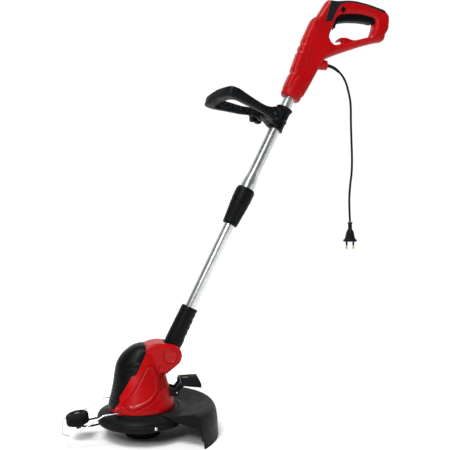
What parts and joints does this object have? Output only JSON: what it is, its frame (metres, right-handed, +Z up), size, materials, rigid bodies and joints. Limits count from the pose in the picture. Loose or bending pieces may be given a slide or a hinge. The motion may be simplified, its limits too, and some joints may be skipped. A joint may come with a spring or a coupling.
{
  "type": "string trimmer",
  "caption": "Electric string trimmer: motor head with spool, guard and edge guide, tilting neck, telescopic shaft, adjustable loop handle and D-handle with trigger and short cord.",
  "frame": {"origin": "on the ground under the spool's axis, at the underside of the bump knob", "axes": "+Z up along the spool's axis, +X from the head towards the user's handle, +Y to the side away from the lock-off button's press face"},
  "size_m": [0.8322, 0.269, 1.0807],
  "materials": {
    "red_plastic": "moulded, semi-gloss",
    "black_plastic": "moulded, fine texture",
    "soft_grip": "soft overmould, matt",
    "rubber": "flexible moulding, matt",
    "aluminium": "drawn tube, satin",
    "steel": "plated, satin",
    "windings": "enamelled copper windings",
    "brass": "satin",
    "grey_plastic": "moulded",
    "nylon": "extruded monofilament"
  },
  "bodies": {
    "head": {"deck": "black_plastic", "guard": "black_plastic", "line_cutter": "steel", "front_cover": "black_plastic", "motor_housing_left": "red_plastic", "motor_housing_right": "red_plastic", "side_panel_left": "red_plastic", "side_panel_right": "red_plastic", "pivot_bolt": "steel", "pivot_cap_left": "red_plastic", "pivot_cap_right": "red_plastic", "motor_stator": "steel", "lower_bearing": "steel", "upper_bearing": "steel", "motor_end_bracket": "steel", "brush_holder_left": "brass", "brush_holder_right": "brass", "wheel_fork": "black_plastic", "wheel_bolt": "steel", "pedal_pin": "steel", "pedal_spring": "steel"},
    "spool": {"motor_shaft": "steel", "armature": "windings", "cooling_fan": "black_plastic", "spool_drum": "black_plastic", "line_eyelet_near": "steel", "line_eyelet_far": "steel", "bump_spring": "steel"},
    "knob": {"bump_knob": "black_plastic"},
    "reel": {"line_reel": "black_plastic", "trimmer_line": "nylon"},
    "wheel": {"guide_wheel": "rubber"},
    "plant_guard": {"wire_guard": "steel"},
    "pedal": {"foot_pedal": "black_plastic", "pedal_icon_plate": "grey_plastic", "pedal_lock_plate": "brass"},
    "lower_shaft": {"neck": "black_plastic", "lower_tube": "aluminium"},
    "collet": {"lock_collet": "grey_plastic"},
    "upper_shaft": {"lock_collar": "black_plastic", "upper_tube": "aluminium", "aux_clamp": "black_plastic", "handle_shell_left": "red_plastic", "handle_shell_right": "red_plastic", "soft_grip": "soft_grip", "trigger_pin": "steel", "power_switch": "grey_plastic", "terminal_block": "grey_plastic", "strain_relief": "rubber", "power_cord": "rubber", "plug": "rubber", "plug_pin_front": "brass", "plug_pin_rear": "brass"},
    "sleeve": {"lock_sleeve": "black_plastic"},
    "loop": {"loop_handle": "black_plastic", "clamp_bolt": "steel"},
    "star_knob": {"clamp_knob": "black_plastic"},
    "trigger_lever": {"trigger": "black_plastic"},
    "button": {"lock_off_button": "black_plastic"}
  },
  "joints": [
    {"name": "spool_spin", "type": "hinge", "parent": "head", "child": "spool", "pos_m": [0, 0, 0.03], "axis": [0, 0, 1], "continuous": true},
    {"name": "bump_feed", "type": "slide", "parent": "spool", "child": "knob", "axis": [0, 0, 1], "range_m": [0, 0.002], "stiffness_N_per_m": 900, "springref_m": -0.004, "deforming": ["bump_spring"]},
    {"name": "reel_turn", "type": "hinge", "parent": "knob", "child": "reel", "pos_m": [0, 0, 0.02], "axis": [0, 0, 1], "continuous": true},
    {"name": "wheel_roll", "type": "hinge", "parent": "head", "child": "wheel", "pos_m": [-0.152, 0, 0.05], "axis": [-0.1392, 0, 0.9903], "continuous": true},
    {"name": "plant_guard_fold", "type": "hinge", "parent": "head", "child": "plant_guard", "pos_m": [-0.059, 0, 0.0755], "axis": [0, 1, 0], "range_deg": [0, 95]},
    {"name": "pedal_press", "type": "hinge", "parent": "head", "child": "pedal", "pos_m": [0.078, 0, 0.1], "axis": [0, 1, 0], "range_deg": [0, 12], "stiffness_Nm_per_rad": 0.8, "springref_deg": -14.32},
    {"name": "head_tilt", "type": "hinge", "parent": "head", "child": "lower_shaft", "pos_m": [0.06, 0, 0.19], "axis": [0, 1, 0], "range_deg": [0, 45]},
    {"name": "shaft_telescope", "type": "slide", "parent": "lower_shaft", "child": "collet", "axis": [0.4415, 0, 0.8973], "range_m": [-0.2, 0.05]},
    {"name": "shaft_swivel", "type": "hinge", "parent": "collet", "child": "upper_shaft", "pos_m": [0.2419, 0, 0.55967], "axis": [0.4415, 0, 0.8973], "range_deg": [0, 180]},
    {"name": "sleeve_lock", "type": "hinge", "parent": "upper_shaft", "child": "sleeve", "pos_m": [0.22777, 0, 0.53096], "axis": [0.4415, 0, 0.8973], "range_deg": [0, 90]},
    {"name": "loop_tilt", "type": "hinge", "parent": "upper_shaft", "child": "loop", "pos_m": [0.31121, -0.00847, 0.77744], "axis": [-0.2171, 0.9703, 0.1068], "range_deg": [-40, 40]},
    {"name": "star_knob_turn", "type": "hinge", "parent": "loop", "child": "star_knob", "pos_m": [0.30036, 0.04005, 0.78279], "axis": [-0.2171, 0.9703, 0.1068], "range_deg": [0, 360]},
    {"name": "trigger_pull", "type": "hinge", "parent": "upper_shaft", "child": "trigger_lever", "pos_m": [0.60288, 0, 1.0396], "axis": [0, 1, 0], "range_deg": [0, 3.5], "stiffness_Nm_per_rad": 1.5, "springref_deg": -5.73},
    {"name": "lock_off_press", "type": "slide", "parent": "upper_shaft", "child": "button", "axis": [0, 1, 0], "range_m": [0, 0.0035], "stiffness_N_per_m": 500, "springref_m": -0.002}
  ]
}
